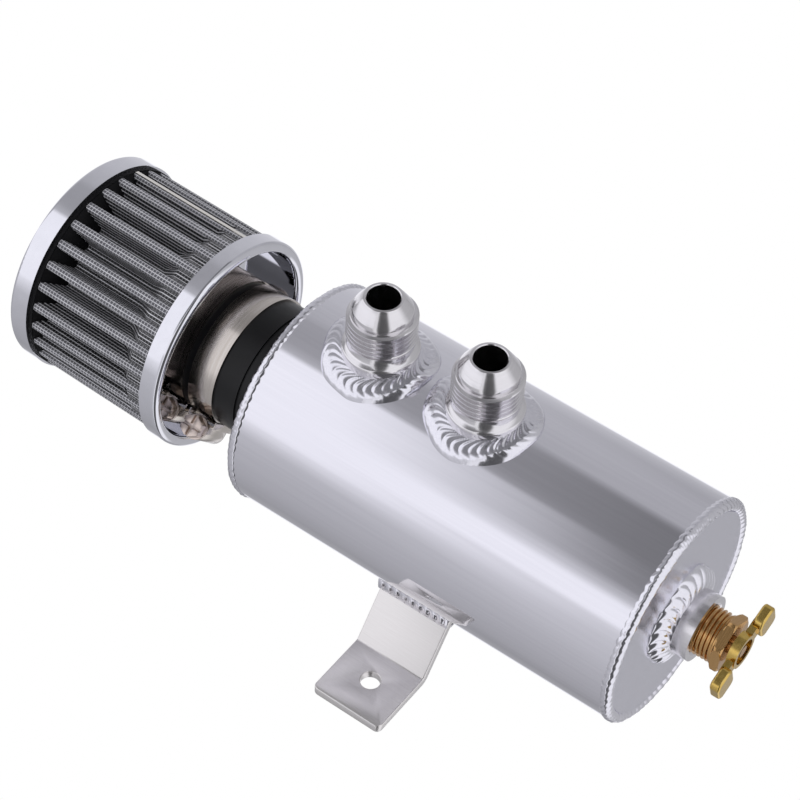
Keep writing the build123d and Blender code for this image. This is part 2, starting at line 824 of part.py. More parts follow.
# Wing handle: a recessed hub with two broad finger pads on short arms
wing = turned(drain, -wing_angle)
with BuildPart() as valve_wing:
    with BuildSketch(wing.offset(hub_start + pad_drop)):
        with Locations((pad_inner_r, 0), (-pad_outer_r, 0)):
            RectangleRounded(
                pad_outer_r - pad_inner_r,
                pad_width,
                pad_corner_r,
                align=(Align.MIN, Align.CENTER),
            )
    extrude(amount=pad_height)
    fillet(valve_wing.edges().filter_by(Axis.Z, reverse=True), pad_round)
    with BuildSketch(wing.offset(hub_start + arm_drop)):
        Rectangle(2 * (pad_inner_r + pad_corner_r), arm_width)
    extrude(amount=arm_height)
    with BuildSketch(wing.offset(hub_start)):
        Circle(hub_r)
    extrude(amount=hub_height)
    with BuildSketch(wing.offset(hub_start)):
        Circle(rivet_r + stem_gap)
    extrude(amount=hub_height, mode=Mode.SUBTRACT)
    with BuildSketch(wing.offset(hub_start + hub_web)):
        Circle(hub_recess_r)
    extrude(amount=hub_height, mode=Mode.SUBTRACT)
valve_wing.part.label = "valve_wing"
export_step(valve_wing.part, "parts/valve_wing.step")
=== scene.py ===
import json
from math import cos, floor, pi, radians, sin, sqrt, tan

import bmesh
import bpy
from mathutils import Matrix, Vector, noise


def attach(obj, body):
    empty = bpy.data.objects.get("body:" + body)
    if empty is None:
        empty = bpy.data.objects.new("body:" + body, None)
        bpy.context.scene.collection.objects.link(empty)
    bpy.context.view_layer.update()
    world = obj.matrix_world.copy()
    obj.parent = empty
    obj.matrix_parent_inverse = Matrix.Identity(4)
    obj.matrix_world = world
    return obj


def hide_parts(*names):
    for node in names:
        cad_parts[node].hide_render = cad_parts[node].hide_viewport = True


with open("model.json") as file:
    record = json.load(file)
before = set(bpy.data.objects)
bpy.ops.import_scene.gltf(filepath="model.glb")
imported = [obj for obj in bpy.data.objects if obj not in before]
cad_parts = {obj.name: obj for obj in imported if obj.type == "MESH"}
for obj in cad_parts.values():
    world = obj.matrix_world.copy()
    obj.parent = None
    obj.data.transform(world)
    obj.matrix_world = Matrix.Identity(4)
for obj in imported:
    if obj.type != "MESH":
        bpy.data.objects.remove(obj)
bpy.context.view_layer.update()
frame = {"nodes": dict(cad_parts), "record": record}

# An oil catch can: a polished aluminium tank with two hose ports, a bolt-on bracket, a clamped
# breather filter and a brass drain valve. Local sizes are in millimetres, and each local frame
# below turns them into the part's own metres.

# One millimetre in metres
MM = 0.001

# Sizes of the tank and its welds, in millimetres
tank_r = 38.1
tank_length = 144.2
end_bead_r = 2.25
end_bead_ring_r = 36.5
plate_inset = 0.8
port_weld_r = 18.0
port_weld_height = 3.3
bracket_weld_up = 5.6
bracket_weld_out = 4.6
boss_r = 11.1
boss_weld_out = 6.2
boss_weld_up = 4.4
neck_r = 19.05
neck_weld = 3.0

# Sizes of the hose ports
lower_port_height = 75.0
upper_port_height = 114.0
port_reach = 62.7
port_bore_r = 5.25
port_nose_r = 6.1
port_shoulder_r = 9.4
port_cone_angle = 37.0
port_shoulder = 1.9
port_thread_r = 11.1
port_thread_length = 10.5
port_thread_chamfer = 0.9
port_waist_r = 10.5
port_waist_length = 2.6
port_root_r = 12.2
port_root_fillet = 1.6
port_shank_end = 31.7
port_thread_pitch = 1.814
port_thread_depth = 1.05

# Sizes of the bracket
bracket_angle = 126.2
bracket_reach = 62.4
bracket_thickness = 3.2
bracket_width = 26.0
bracket_height = 78.5
hole_from_bend = 10.3

# Sizes and counts of the filter
breather_lean = 1.5
pleat_count = 29
pleat_r = 36.4
pleat_depth = 6.8
pleat_crest_width = 3.0
pleat_valley_width = 2.2
media_thickness = 1.2
base_band_end = 35.3
skirt_r = 35.5
skirt_end = 42.0
pleat_fall = 6.5
pleat_rows = 14
potting_start = 82.2
seam_angle = -64.5
fold_wires = 14
cross_wire_pitch = 1.2

# Sizes of the valve
valve_thread_r = 8.2
valve_nose = 1.0
valve_thread_end = 14.9
valve_thread_pitch = 1.41
valve_thread_depth = 0.75
hex_start = 15.5
hex_end = 18.7
hex_flats = 16.5
hex_angle = 30.8
valve_bore_r = 3.08
valve_thread_chamfer = 0.8

# Corners closer than this are one corner: in millimetres in the local frames, and in metres
merge_mm = 1e-4
merge_m = 1e-6

# The bright part of a grain's noise lies between these two levels
grain_low = 0.3
grain_high = 0.7

# Local frames
can_x = hole_from_bend - bracket_reach * cos(radians(bracket_angle))
can_y = -bracket_thickness - bracket_reach * sin(radians(bracket_angle))
CAN = Matrix.Scale(MM, 4) @ Matrix.Translation((can_x, can_y, -bracket_height))
CAN_TOP = CAN @ Matrix.Translation((0, 0, tank_length))
BREATHER = CAN_TOP @ Matrix.Rotation(radians(breather_lean), 4, "Y")
DRAIN = CAN @ Matrix.Rotation(pi, 4, "X")
LEG = CAN @ Matrix.Rotation(radians(bracket_angle), 4, "Z")


def port_frame(height):
    """Local frame of a hose port: its z axis points out of the tank."""
    return CAN @ Matrix.Translation((0, 0, height)) @ Matrix.Rotation(pi / 2, 4, "X")


def srgb(colour):
    """Linear RGBA of a colour written as sRGB hex, such as "c8c4bc"."""
    levels = [int(colour[i:i + 2], 16) / 255 for i in (0, 2, 4)]
    linear = [c / 12.92 if c <= 0.04045 else ((c + 0.055) / 1.055) ** 2.4 for c in levels]
    return (*linear, 1.0)


def add_node(tree, kind, inputs=None, **settings):
    """Adds a shader node. An input is a value, or another node's output to link."""
    node = tree.nodes.new("ShaderNode" + kind)
    for name, value in settings.items():
        setattr(node, name, value)
    for name, value in (inputs or {}).items():
        if isinstance(value, bpy.types.NodeSocket):
            tree.links.new(value, node.inputs[name])
        else:
            node.inputs[name].default_value = value
    return node


def new_material(name):
    """A material with its node tree and its Principled shader."""
    material = bpy.data.materials.new(name)
    material.use_nodes = True
    tree = material.node_tree
    shader = next(n for n in tree.nodes if n.type == "BSDF_PRINCIPLED")
    return material, tree, shader


def grained(name, colours, roughness, grain, relief, metallic=1.0, swell=None, swell_height=0.0,
            sheen_level=0.5):
    """A finish with a grain: two colours and two roughnesses mixed by a stretched noise.

    grain and swell are how often the pattern changes in each millimetre along x, y and z.
    relief and swell_height are heights in millimetres.
    """
    material, tree, shader = new_material(name)
    place = add_node(tree, "TexCoord")
    stretch = add_node(tree, "Mapping", {
        "Vector": place.outputs["Object"], "Scale": [g / MM for g in grain],
    })
    lines = add_node(tree, "TexNoise", {
        "Vector": stretch.outputs[0], "Scale": 1.0, "Detail": 3.0, "Roughness": 0.6,
    })
    tint = add_node(tree, "Mix", {
        0: lines.outputs["Fac"], 6: srgb(colours[0]), 7: srgb(colours[1]),
    }, data_type="RGBA")
    tree.links.new(tint.outputs[2], shader.inputs["Base Color"])
    gloss = add_node(tree, "MapRange", {
        "Value": lines.outputs["Fac"], "From Min": grain_low, "From Max": grain_high,
        "To Min": roughness[0], "To Max": roughness[1],
    })
    tree.links.new(gloss.outputs[0], shader.inputs["Roughness"])
    shader.inputs["Metallic"].default_value = metallic
    shader.inputs["Specular IOR Level"].default_value = sheen_level
    normal = None
    if swell:
        broad = add_node(tree, "Mapping", {
            "Vector": place.outputs["Object"], "Scale": [g / MM for g in swell],
        })
        hills = add_node(tree, "TexNoise", {
            "Vector": broad.outputs[0], "Scale": 1.0, "Detail": 1.0,
        })
        normal = add_node(tree, "Bump", {
            "Height": hills.outputs["Fac"], "Distance": swell_height * MM, "Strength": 1.0,
        })
    bump = add_node(tree, "Bump", {
        "Height": lines.outputs["Fac"], "Distance": relief * MM, "Strength": 1.0,
    })
    if normal:
        tree.links.new(normal.outputs[0], bump.inputs["Normal"])
    tree.links.new(bump.outputs[0], shader.inputs["Normal"])
    return material


# One fold of the pleated element, from the middle of a valley to the next
half_turn = pi / pleat_count
valley_r = pleat_r - pleat_depth


def by_valley(sideways, side):
    """A corner beside the valley on one side of the fold."""
    x = valley_r * cos(half_turn) + sideways * sin(half_turn)
    y = valley_r * sin(half_turn) - sideways * cos(half_turn)
    return Vector((x, side * y))


fold = [
    by_valley(0, -1), by_valley(pleat_valley_width / 2, -1),
    Vector((pleat_r, -pleat_crest_width / 2)), Vector((pleat_r, pleat_crest_width / 2)),
    by_valley(pleat_valley_width / 2, 1), by_valley(0, 1),
]
fold_lengths = [(b - a).length for a, b in zip(fold, fold[1:])]
fold_length = sum(fold_lengths)
wire_pitch = fold_length / fold_wires

# Wire cloth: how far from the middle of a cell a wire starts and is whole, as shares of its
# pitch, and how far from the middle of a fold the painted light on the crest is whole and ends.
# Off the crests, painted shade darkens the gauze and dims the cross wires
wire_starts, wire_whole = 0.33, 0.42
cross_wire_starts, cross_wire_whole = 0.36, 0.44
crest_light_whole, crest_light_ends = 0.08, 0.17
cross_wire_level = 0.8
cross_wire_in_painted_shade = 0.25
cloth_shine = 0.35
cloth_roughness = 0.42
cloth_relief = 0.12


def wire_cloth():
    """Galvanised wire cloth over dark gauze: bright wires, with painted shade off the crests."""
    material, tree, shader = new_material("galvanised_wire_cloth")
    place = add_node(tree, "UVMap", uv_map="UVMap")
    split = add_node(tree, "SeparateXYZ", {"Vector": place.outputs[0]})
    from_middle = []
    for axis, pitch in (("Y", wire_pitch), ("X", cross_wire_pitch), ("Y", fold_length)):
        steps = add_node(tree, "Math", {
            0: split.outputs[axis], 1: 1 / pitch,
        }, operation="MULTIPLY")
        phase = add_node(tree, "Math", {0: steps.outputs[0]}, operation="FRACT")
        offset = add_node(tree, "Math", {0: phase.outputs[0], 1: 0.5}, operation="SUBTRACT")
        from_middle.append(add_node(tree, "Math", {0: offset.outputs[0]}, operation="ABSOLUTE"))
    wire = add_node(tree, "MapRange", {
        "Value": from_middle[0].outputs[0], "From Min": wire_starts, "From Max": wire_whole,
    })
    cross = add_node(tree, "MapRange", {
        "Value": from_middle[1].outputs[0], "From Min": cross_wire_starts,
        "From Max": cross_wire_whole, "To Max": cross_wire_level,
    })
    # Painted shade: this mask is 1 on the crests and falls to 0 on the flanks and in the valleys,
    # where it darkens the gauze and dims the cross wires
    crest = add_node(tree, "MapRange", {
        "Value": from_middle[2].outputs[0], "From Min": crest_light_ends, "From Max": crest_light_whole,
    })
    rung_painted_light = add_node(tree, "MapRange", {
        "Value": crest.outputs[0], "To Min": cross_wire_in_painted_shade, "To Max": 1.0,
    })
    cross_shown = add_node(tree, "Math", {
        0: cross.outputs[0], 1: rung_painted_light.outputs[0],
    }, operation="MULTIPLY")
    both = add_node(tree, "Math", {
        0: wire.outputs[0], 1: cross_shown.outputs[0],
    }, operation="MAXIMUM")
    dull = add_node(tree, "TexNoise", {"Vector": place.outputs[0], "Scale": 0.35, "Detail": 2.0})
    # Dark gauze with painted shade: darker on the flanks and in the valleys, lighter on the crests
    gauze = add_node(tree, "Mix", {
        0: crest.outputs[0], 6: srgb("151518"), 7: srgb("55555c"),
    }, data_type="RGBA")
    zinc = add_node(tree, "Mix", {
        0: dull.outputs["Fac"], 6: srgb("b8b8c0"), 7: srgb("f0f0f6"),
    }, data_type="RGBA")
    colour = add_node(tree, "Mix", {
        0: both.outputs[0], 6: gauze.outputs[2], 7: zinc.outputs[2],
    }, data_type="RGBA")
    tree.links.new(colour.outputs[2], shader.inputs["Base Color"])
    shine = add_node(tree, "Math", {0: both.outputs[0], 1: cloth_shine}, operation="MULTIPLY")
    tree.links.new(shine.outputs[0], shader.inputs["Metallic"])
    shader.inputs["Roughness"].default_value = cloth_roughness
    bump = add_node(tree, "Bump", {
        "Height": both.outputs[0], "Distance": cloth_relief * MM, "Strength": 1.0,
    })
    tree.links.new(bump.outputs[0], shader.inputs["Normal"])
    return material


finishes = {
    # Polished 6061 tube: mirror-like, with faint draw lines along it and a slow swell
    "polished_tube": grained(
        "polished_aluminium", ("e6e5ec", "f0eff5"), (0.05, 0.08), (1.1, 1.1, 0.02), 0.0002,
        swell=(0.05, 0.05, 0.016), swell_height=0.06),
    # Turned fittings: fine tool rings that spread the light into soft bands
    "turned_aluminium": grained(
        "turned_aluminium", ("d8d6d8", "f2f0f2"), (0.12, 0.2), (0.03, 3.0, 0.03), 0.0015),
    # Sawn and wiped plate: a satin sheet that mirrors its surroundings softly
    "plate_aluminium": grained(
        "satin_aluminium_plate", ("d4d3dc", "e2e1ea"), (0.18, 0.26), (0.5, 0.5, 0.5), 0.002),
    # Weld metal: bright as cast, with fine freeze lines on every ripple
    "weld_bead": grained(
        "weld_aluminium", ("dcdbe4", "f6f5fa"), (0.08, 0.18), (1.6, 1.6, 1.6), 0.006),
    # Linished flat bar: scratches across the bar
    "brushed_aluminium": grained(
        "linished_aluminium", ("dedad8", "f2f0ee"), (0.28, 0.38), (3.0, 3.0, 0.12), 0.001),
    # Chrome plate on pressed steel: a clear mirror with slight press marks
    "chrome_cap": grained(
        "chrome_plate", ("e4e4ea", "eeeef4"), (0.03, 0.06), (0.3, 0.3, 0.3), 0.0006,
        swell=(0.06, 0.06, 0.06), swell_height=0.05),
    "wire_mesh": wire_cloth(),
    # Crimped strip: bright drawn steel
    "seam_steel": grained(
        "bright_drawn_steel", ("f2ede2", "fdfbf6"), (0.12, 0.2), (3.0, 3.0, 0.05), 0.001),
    # Cast rubber compound: black, slightly glossy, with flow marks
    "potting": grained(
        "cast_rubber", ("050507", "0c0c0f"), (0.5, 0.65), (0.6, 0.6, 0.6), 0.01,
        metallic=0.0, sheen_level=0.15),
    # Moulded hose rubber: black and smooth, with a soft sheen
    "black_rubber": grained(
        "moulded_rubber", ("08080a", "111114"), (0.3, 0.42), (1.2, 1.2, 0.3), 0.002,
        metallic=0.0, sheen_level=0.3),
    # Rolled stainless strip: bright, with roll lines round the band
    "stainless_band": grained(
        "rolled_stainless_steel", ("bdb5ac", "dcd6d0"), (0.13, 0.2), (0.05, 0.05, 2.0), 0.0005),
    # Zinc plated screw: a warm grey with a soft glow
    "zinc_screw": grained(
        "zinc_plated_steel", ("c8b8ae", "e8dcd4"), (0.28, 0.38), (1.5, 1.5, 1.5), 0.001),
    # Turned brass: coppery, with tool rings
    "brass_body": grained(
        "turned_brass", ("c2965f", "d2aa74"), (0.14, 0.22), (0.05, 0.05, 3.0), 0.0005),
    # Die cast brass: yellower, lightly tumbled
    "brass_wing": grained(
        "cast_brass", ("c9a54e", "e6c878"), (0.14, 0.24), (0.8, 0.8, 0.8), 0.004),
}
for subpart in frame["record"]["subparts"]:
    shape = frame["nodes"][subpart["node"]]
    shape.data.materials.clear()
    shape.data.materials.append(finishes[subpart["material_slot"]])


def add_piece(name, shape, place, slot, stands_for=(), body="can", sharp=40):
    """Makes a piece of a bmesh in a local frame and seats it on its body.

    Bends of more than the angle sharp, in degrees, stay sharp edges.
    """
    shape.transform(place)
    mesh = bpy.data.meshes.new(name)
    shape.to_mesh(mesh)
    shape.free()
    for face in mesh.polygons:
        face.use_smooth = True
    mesh.set_sharp_from_angle(angle=radians(sharp))
    mesh.materials.append(finishes[slot])
    piece = bpy.data.objects.new(name, mesh)
    bpy.context.scene.collection.objects.link(piece)
    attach(piece, body)
    if stands_for:
        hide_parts(*stands_for)
    return piece


def lathe(profile, steps=128):
    """A closed profile of (radius, height) points, turned once about the local z axis."""
    shape = bmesh.new()
    corners = [shape.verts.new((radius, 0, height)) for radius, height in profile]
    sides = [shape.edges.new(pair) for pair in zip(corners, corners[1:] + corners[:1])]
    bmesh.ops.spin(
        shape, geom=corners + sides, axis=(0, 0, 1), cent=(0, 0, 0), angle=2 * pi, steps=steps,
        use_merge=True,
    )
    bmesh.ops.remove_doubles(shape, verts=shape.verts, dist=merge_mm)
    bmesh.ops.recalc_face_normals(shape, faces=shape.faces)
    return shape


def arc(centre, radius, start, end, count=6):
    """Points of an arc in a lathe profile, from one angle in degrees to another."""
    angles = [radians(start + (end - start) * i / count) for i in range(count + 1)]
    return [(centre[0] + radius * cos(a), centre[1] + radius * sin(a)) for a in angles]


def wrap(across, along, place, mm_across=1.0, mm_along=1.0, wall=0.0):
    """A grid of faces laid over a surface: place(u, v) gives a corner, with u and v from 0 to 1.

    The UV map keeps u and v, in millimetres of the real surface. A wall makes it a thin shell.
    """
    shape = bmesh.new()
    bmesh.ops.create_grid(shape, x_segments=across, y_segments=along, size=0.5)
    uv = shape.loops.layers.uv.new("UVMap")
    for face in shape.faces:
        for loop in face.loops:
            u, v = loop.vert.co.x + 0.5, loop.vert.co.y + 0.5
            loop[uv].uv = (u * mm_across, v * mm_along)
    for corner in shape.verts:
        corner.co = place(corner.co.x + 0.5, corner.co.y + 0.5)
    bmesh.ops.remove_doubles(shape, verts=shape.verts, dist=merge_mm)
    bmesh.ops.dissolve_degenerate(shape, edges=shape.edges, dist=merge_mm)
    bmesh.ops.recalc_face_normals(shape, faces=shape.faces)
    if wall:
        bmesh.ops.solidify(shape, geom=shape.faces[:], thickness=wall)
        bmesh.ops.recalc_face_normals(shape, faces=shape.faces)
    return shape


# Weld ripples: their mean height and how much it varies, how far each leans over the one before
# it, and how full its crest is. The noise that varies them is read at one level, with two
# ripples and two welds this far apart, and a ring's wobble on a circle of this radius
ripple_mean = 0.75
ripple_spread = 0.5
ripple_lean = 0.75
ripple_fullness = 0.7
ripples_apart = 0.71
welds_apart = 3.3
noise_level = 0.5
wobble_r = 1.7
steps_per_ripple = 9


def ripple(phase, seed=0):
    """Height of overlapping weld ripples, 0 in a groove and about 1 on a crest."""
    number = floor(phase)
    part = phase - number
    spot = Vector((number * ripples_apart, seed * welds_apart, noise_level))
    unevenness = ripple_mean + ripple_spread * noise.noise(spot)
    return unevenness * sin(pi * part ** ripple_lean) ** ripple_fullness


def wander(angle, seed, amount):
    """A slow wobble round a ring, so that no weld is a perfect circle."""
    spot = Vector((wobble_r * cos(angle), wobble_r * sin(angle), seed))
    return amount * noise.noise(spot)


# End welds: a bead over each end of the tank, a row of overlapping ripples
end_ripples = 78
end_ripple_depth = 0.42
end_ripple_bow = 0.9
end_ripple_turn = 0.8
end_crest = 0.9
end_seed = 1
end_clearance = 0.05
end_rows = 16


def end_bead(u, v):
    """Corner of an end weld: u goes round the bead's section, v goes round the tank."""
    around = 2 * pi * v
    section = 2 * pi * u
    bow = end_ripple_bow * cos(section - end_ripple_turn)
    height = end_ripple_depth * (ripple(end_ripples * v + bow, end_seed) - end_crest)
    radius = end_bead_r - end_clearance + min(0.0, height)
    out = end_bead_ring_r + radius * cos(section)
    return (out * cos(around), out * sin(around), end_bead_r + radius * sin(section))


UPSIDE_DOWN = CAN_TOP @ Matrix.Rotation(pi, 4, "X")
for name, place in (("bottom", CAN), ("top", UPSIDE_DOWN)):
    add_piece(f"{name}_end_bead", wrap(end_rows, end_ripples * steps_per_ripple, end_bead),
              place, "weld_bead", [f"{name}_end_weld"], sharp=60)

# Port welds: a broad pad of ripples round each port, saddled on the tank
port_ripples = 34
pad_ripple_depth = 0.36
pad_ripple_crest = 0.8
pad_bow = 1.5
pad_bow_middle = 0.525
pad_tuck = 0.4
pad_spread = 0.2
pad_wobble = 0.9
pad_swell = 0.4
pad_swell_seed = 5
pad_clearance = 0.2
pad_sink = 0.05
pad_wall = 0.8
pad_rows = 18

# How much lower the pad is at its edge, and the share of its width at which it rounds over
pad_slope = 0.35
pad_shoulder = 0.6


def port_pad(seed):
    """Corner of a port weld, in the port's frame: u goes out from the port, v goes round it."""
    def place(u, v):
        around = 2 * pi * v
        edge = port_weld_r + pad_spread + wander(around, seed, pad_wobble)
        radius = port_root_r - pad_tuck + (edge - port_root_r + pad_tuck) * u
        over = max(0.0, (u - pad_shoulder) / (1 - pad_shoulder))
        crown = (1 - pad_slope * u) * sqrt(max(0.0, 1 - over ** 2))
        bow = pad_bow * (1 - (2 * (u - pad_bow_middle)) ** 2)
        waves = ripple(port_ripples * v + bow, seed) - pad_ripple_crest
        pad = port_weld_height - pad_clearance + wander(around, seed + pad_swell_seed, pad_swell)
        height = pad * crown + pad_ripple_depth * waves * sqrt(crown)
        x = radius * cos(around)
        y = radius * sin(around)
        return (x, y, sqrt(tank_r ** 2 - x ** 2) + height - pad_sink)
    return place


for name, height, seed in (("lower", lower_port_height, 2), ("upper", upper_port_height, 3)):
    add_piece(f"{name}_port_ripples",
              wrap(pad_rows, port_ripples * steps_per_ripple, port_pad(seed), wall=pad_wall),
              port_frame(height), "weld_bead", [f"{name}_port_weld"], sharp=60)

# Bracket welds: a short rippled fillet on each side of the leg
bracket_ripples = 9
bracket_bow = 0.8
bracket_bulge = 1.1
bracket_ripple_depth = 0.9
bracket_ripple_crest = 0.7
bracket_weld_wall = 0.8
bracket_weld_rows = 12


def bracket_fillet(side):
    """Corner of a bracket weld: u goes from the leg to the tank, v goes up."""
    inner = 0 if side > 0 else -bracket_thickness
    out = inner + side * bracket_weld_out
    foot = Vector((tank_r + bracket_weld_up, inner))
    root = Vector((sqrt(tank_r ** 2 - out ** 2), out))

    def place(u, v):
        chord = foot.lerp(root, u)
        away = Vector((root.y - foot.y, foot.x - root.x)).normalized() * side
        bow = bracket_bow * (1 - (2 * u - 1) ** 2)
        waves = ripple(bracket_ripples * v + bow, side) - bracket_ripple_crest
        swell = bracket_bulge + bracket_ripple_depth * waves
        point = chord + away * swell * (1 - (2 * u - 1) ** 2)
        return (point.x, point.y, bracket_height + bracket_width * (v - 0.5))
    return place


for name, side in (("near", 1), ("far", -1)):
    add_piece(f"{name}_bracket_ripples",
              wrap(bracket_weld_rows, bracket_ripples * steps_per_ripple, bracket_fillet(side),
                   wall=bracket_weld_wall),
              LEG, "weld_bead", [f"{name}_bracket_weld"], sharp=60)

# Ring welds, round the drain boss and the breather's neck: the piece, what it stands for, its
# frame, the standing tube's radius, the weld's reach out and up, its ripples and its seed
ring_welds = (
    ("boss_ripples", "drain_boss_weld", DRAIN, boss_r, boss_weld_out, boss_weld_up, 24, 4.0),
    ("neck_ripples", "breather_neck_weld", CAN_TOP, neck_r, neck_weld, neck_weld, 30, 5.0),
)
ring_bow = 0.8
ring_ripple_depth = 0.2
ring_ripple_crest = 0.7
ring_wobble = 0.3
ring_tuck = 0.2
ring_fullness = 1.2
ring_ripples_end = 1.05
ring_wall = 0.5
ring_rows = 14
steps_per_ring_ripple = 16


def ring_fillet(inner, out, up, count, seed):
    """Corner of a ring weld: u goes from the standing tube down to the plate, v goes round."""
    def place(u, v):
        around = 2 * pi * v
        reach = out + wander(around, seed, ring_wobble * out)
        bow = ring_bow * (1 - (2 * u - 1) ** 2)
        shown = sin(pi * min(1.0, u * ring_ripples_end))
        crest = ripple(count * v + bow, seed) - ring_ripple_crest
        waves = ring_ripple_depth * up * crest * shown
        turn = u * pi / 2
        radius = inner - ring_tuck + (reach + ring_tuck) * sin(turn) ** ring_fullness + waves
        height = up * cos(turn) ** ring_fullness + waves - plate_inset
        return (radius * cos(around), radius * sin(around), height)
    return place


for name, node, place, inner, out, up, count, seed in ring_welds:
    add_piece(name,
              wrap(ring_rows, count * steps_per_ring_ripple,
                   ring_fillet(inner, out, up, count, seed), wall=ring_wall),
              place, "weld_bead", [node], sharp=60)

# Threads: how steep the flanks are, how wide the crest is left, and how far the shell's ends
# sink into the core
flank_slope = 2.6
crest_share = 0.5
thread_sink = 0.1
thread_wall = 0.25
core_clearance = 0.05
thread_rows = 10
steps_per_turn = 72


def thread(major_r, depth, pitch, start, end, fade):
    """A helical thread between two heights, run out to its root at both ends."""
    turns = int((end - start) / pitch) + 2
    low = start - pitch

    def place(u, v):
        height = low + pitch * (turns * v + u)
        tooth = min(1.0, max(0.0, flank_slope * abs(2 * u - 1) - crest_share))
        inside = min(max(height, start), end)
        room = min(inside - start, end - inside) / fade
        fading = 1 - min(1.0, room)
        radius = major_r - depth * max(tooth, fading) - thread_sink * fading
        around = 2 * pi * turns * v
        return (radius * cos(around), radius * sin(around), inside)
    return wrap(thread_rows, turns * steps_per_turn, place, wall=thread_wall)


# Hose ports: a turned fitting with a helical thread
cone_length = (port_shoulder_r - port_nose_r) / tan(radians(port_cone_angle))
shoulder_top = port_reach - cone_length
thread_top = shoulder_top - port_shoulder
thread_low = thread_top - port_thread_length
waist_low = thread_low - port_waist_length
thread_root_r = port_thread_r - port_thread_depth - core_clearance
root_round = 0.9
root_round_end = 75
round_start = 0.3
edge_break = 0.25
shoulder_break = 0.15
nose_break = 0.2
port_profile = [
    (port_bore_r, port_shank_end),
    (port_root_r, port_shank_end),
    (port_root_r, waist_low - port_root_fillet - round_start),
    *arc((port_root_r - root_round, waist_low - port_root_fillet), root_round, 0,
         root_round_end),
    (port_waist_r + edge_break, waist_low),
    (port_waist_r, waist_low + round_start),
    (port_waist_r, thread_low),
    (thread_root_r, thread_low),
    (thread_root_r, thread_top),
    (port_shoulder_r, thread_top),
    (port_shoulder_r, shoulder_top - edge_break),
    (port_shoulder_r - shoulder_break, shoulder_top),
    (port_nose_r + nose_break, port_reach - shoulder_break),
    (port_nose_r, port_reach),
    (port_bore_r + edge_break, port_reach),
    (port_bore_r, port_reach - edge_break),
]
for name, height in (("lower", lower_port_height), ("upper", upper_port_height)):
    add_piece(f"{name}_port_fitting", lathe(port_profile), port_frame(height),
              "turned_aluminium", [f"{name}_port"])
    add_piece(f"{name}_port_threads",
              thread(port_thread_r, port_thread_depth, port_thread_pitch, thread_low, thread_top,
                     port_thread_chamfer),
              port_frame(height), "turned_aluminium", sharp=60)

# Pleated element: the folds carry on one after another round the filter. Its bends are eased
# over these steps along the cloth, in millimetres
ease_steps = (-0.8, -0.4, 0.0, 0.4, 0.8)
steps_per_fold = 22
cloth_wall = 0.5


def on_fold(distance):
    """Point at a distance along one fold, which carries on into the folds beside it."""
    turns = floor(distance / fold_length)
    rest = distance - turns * fold_length
    for start, end, length in zip(fold, fold[1:], fold_lengths):
        if rest <= length:
            break
        rest -= length
    point = start.lerp(end, min(1.0, rest / length))
    return Matrix.Rotation(2 * half_turn * turns, 2) @ point


def pleats(u, v):
    """Corner of the pleats: shallow on the skirt by the base cap, and deep above it."""
    height = base_band_end + (potting_start - base_band_end) * u
    distance = v * pleat_count * fold_length
    eased = [on_fold(distance + step) for step in ease_steps]
    point = Matrix.Rotation(radians(seam_angle), 2) @ (sum(eased, Vector((0, 0))) / len(eased))
    fall = min(1.0, max(0.0, (height - skirt_end) / pleat_fall))
    floor_r = skirt_r + (valley_r - skirt_r) * fall
    point = point.normalized() * max(point.length, floor_r)
    return (point.x, point.y, height)


add_piece("wire_pleats",
          wrap(pleat_rows, pleat_count * steps_per_fold, pleats, potting_start - base_band_end,
               pleat_count * fold_length, wall=cloth_wall),
          BREATHER, "wire_mesh", ["pleated_media"], sharp=70)

# Rubber that climbs in the valleys between the pleats, by the end cap: partly real potting, and
# partly a dark fill that stands in for the shade in the valleys there
climb = 6.0
climb_toe = 0.4
climb_shoulder = 1.6
climb_shoulder_drop = 1.2
climb_clearance = 0.1
climb_profile = [
    (valley_r - media_thickness, potting_start - climb),
    (valley_r + climb_toe, potting_start - climb),
    (pleat_r - climb_shoulder, potting_start - climb_shoulder_drop),
    (pleat_r - climb_clearance, potting_start),
    (valley_r - media_thickness, potting_start),
]
add_piece("valley_rubber_and_shade", lathe(climb_profile), BREATHER, "potting", sharp=60)

# Valve body: a turned nose with a pipe thread, and a hexagon with its corners turned off
valve_core_r = valve_thread_r - valve_thread_depth - core_clearance
nose_overlap = 0.2
nose_profile = [
    (valve_bore_r, valve_nose),
    (valve_core_r, valve_nose),
    (valve_core_r, valve_thread_end),
    (valve_thread_r, valve_thread_end),
    (valve_thread_r, hex_start + nose_overlap),
    (valve_bore_r, hex_start + nose_overlap),
]
add_piece("valve_nose", lathe(nose_profile), DRAIN, "brass_body", ["valve_body"])
add_piece("valve_threads",
          thread(valve_thread_r, valve_thread_depth, valve_thread_pitch, valve_nose,
                 valve_thread_end, valve_thread_chamfer),
          DRAIN, "brass_body", sharp=60)

# Rows of the hexagon, as (radius, height): a radius of 0 stands for the hexagon's own. Its
# corners are turned off by hex_corner at the ends and by the slope further in
hex_steps = (0.0, 0.2, 0.4, 0.7)
hex_corner = 0.3
hex_corner_slope = 1.73
hex_columns = 96
hex_rows = [
    (valve_bore_r, hex_start),
    *((0, hex_start + step) for step in hex_steps),
    *((0, hex_end - step) for step in reversed(hex_steps)),
    (valve_bore_r, hex_end),
]


def hexagon(u, v):
    """Corner of the bored hexagon, its end corners turned off at 30 degrees."""
    radius, height = hex_rows[round(u * len(hex_rows)) % len(hex_rows)]
    around = 2 * pi * v
    if not radius:
        from_flat = (around % (pi / 3)) - pi / 6
        from_end = min(height - hex_start, hex_end - height)
        turned = hex_flats / 2 + hex_corner + hex_corner_slope * from_end
        radius = min(hex_flats / 2 / cos(from_flat), turned)
    around += radians(hex_angle)
    return (radius * cos(around), radius * sin(around), height)


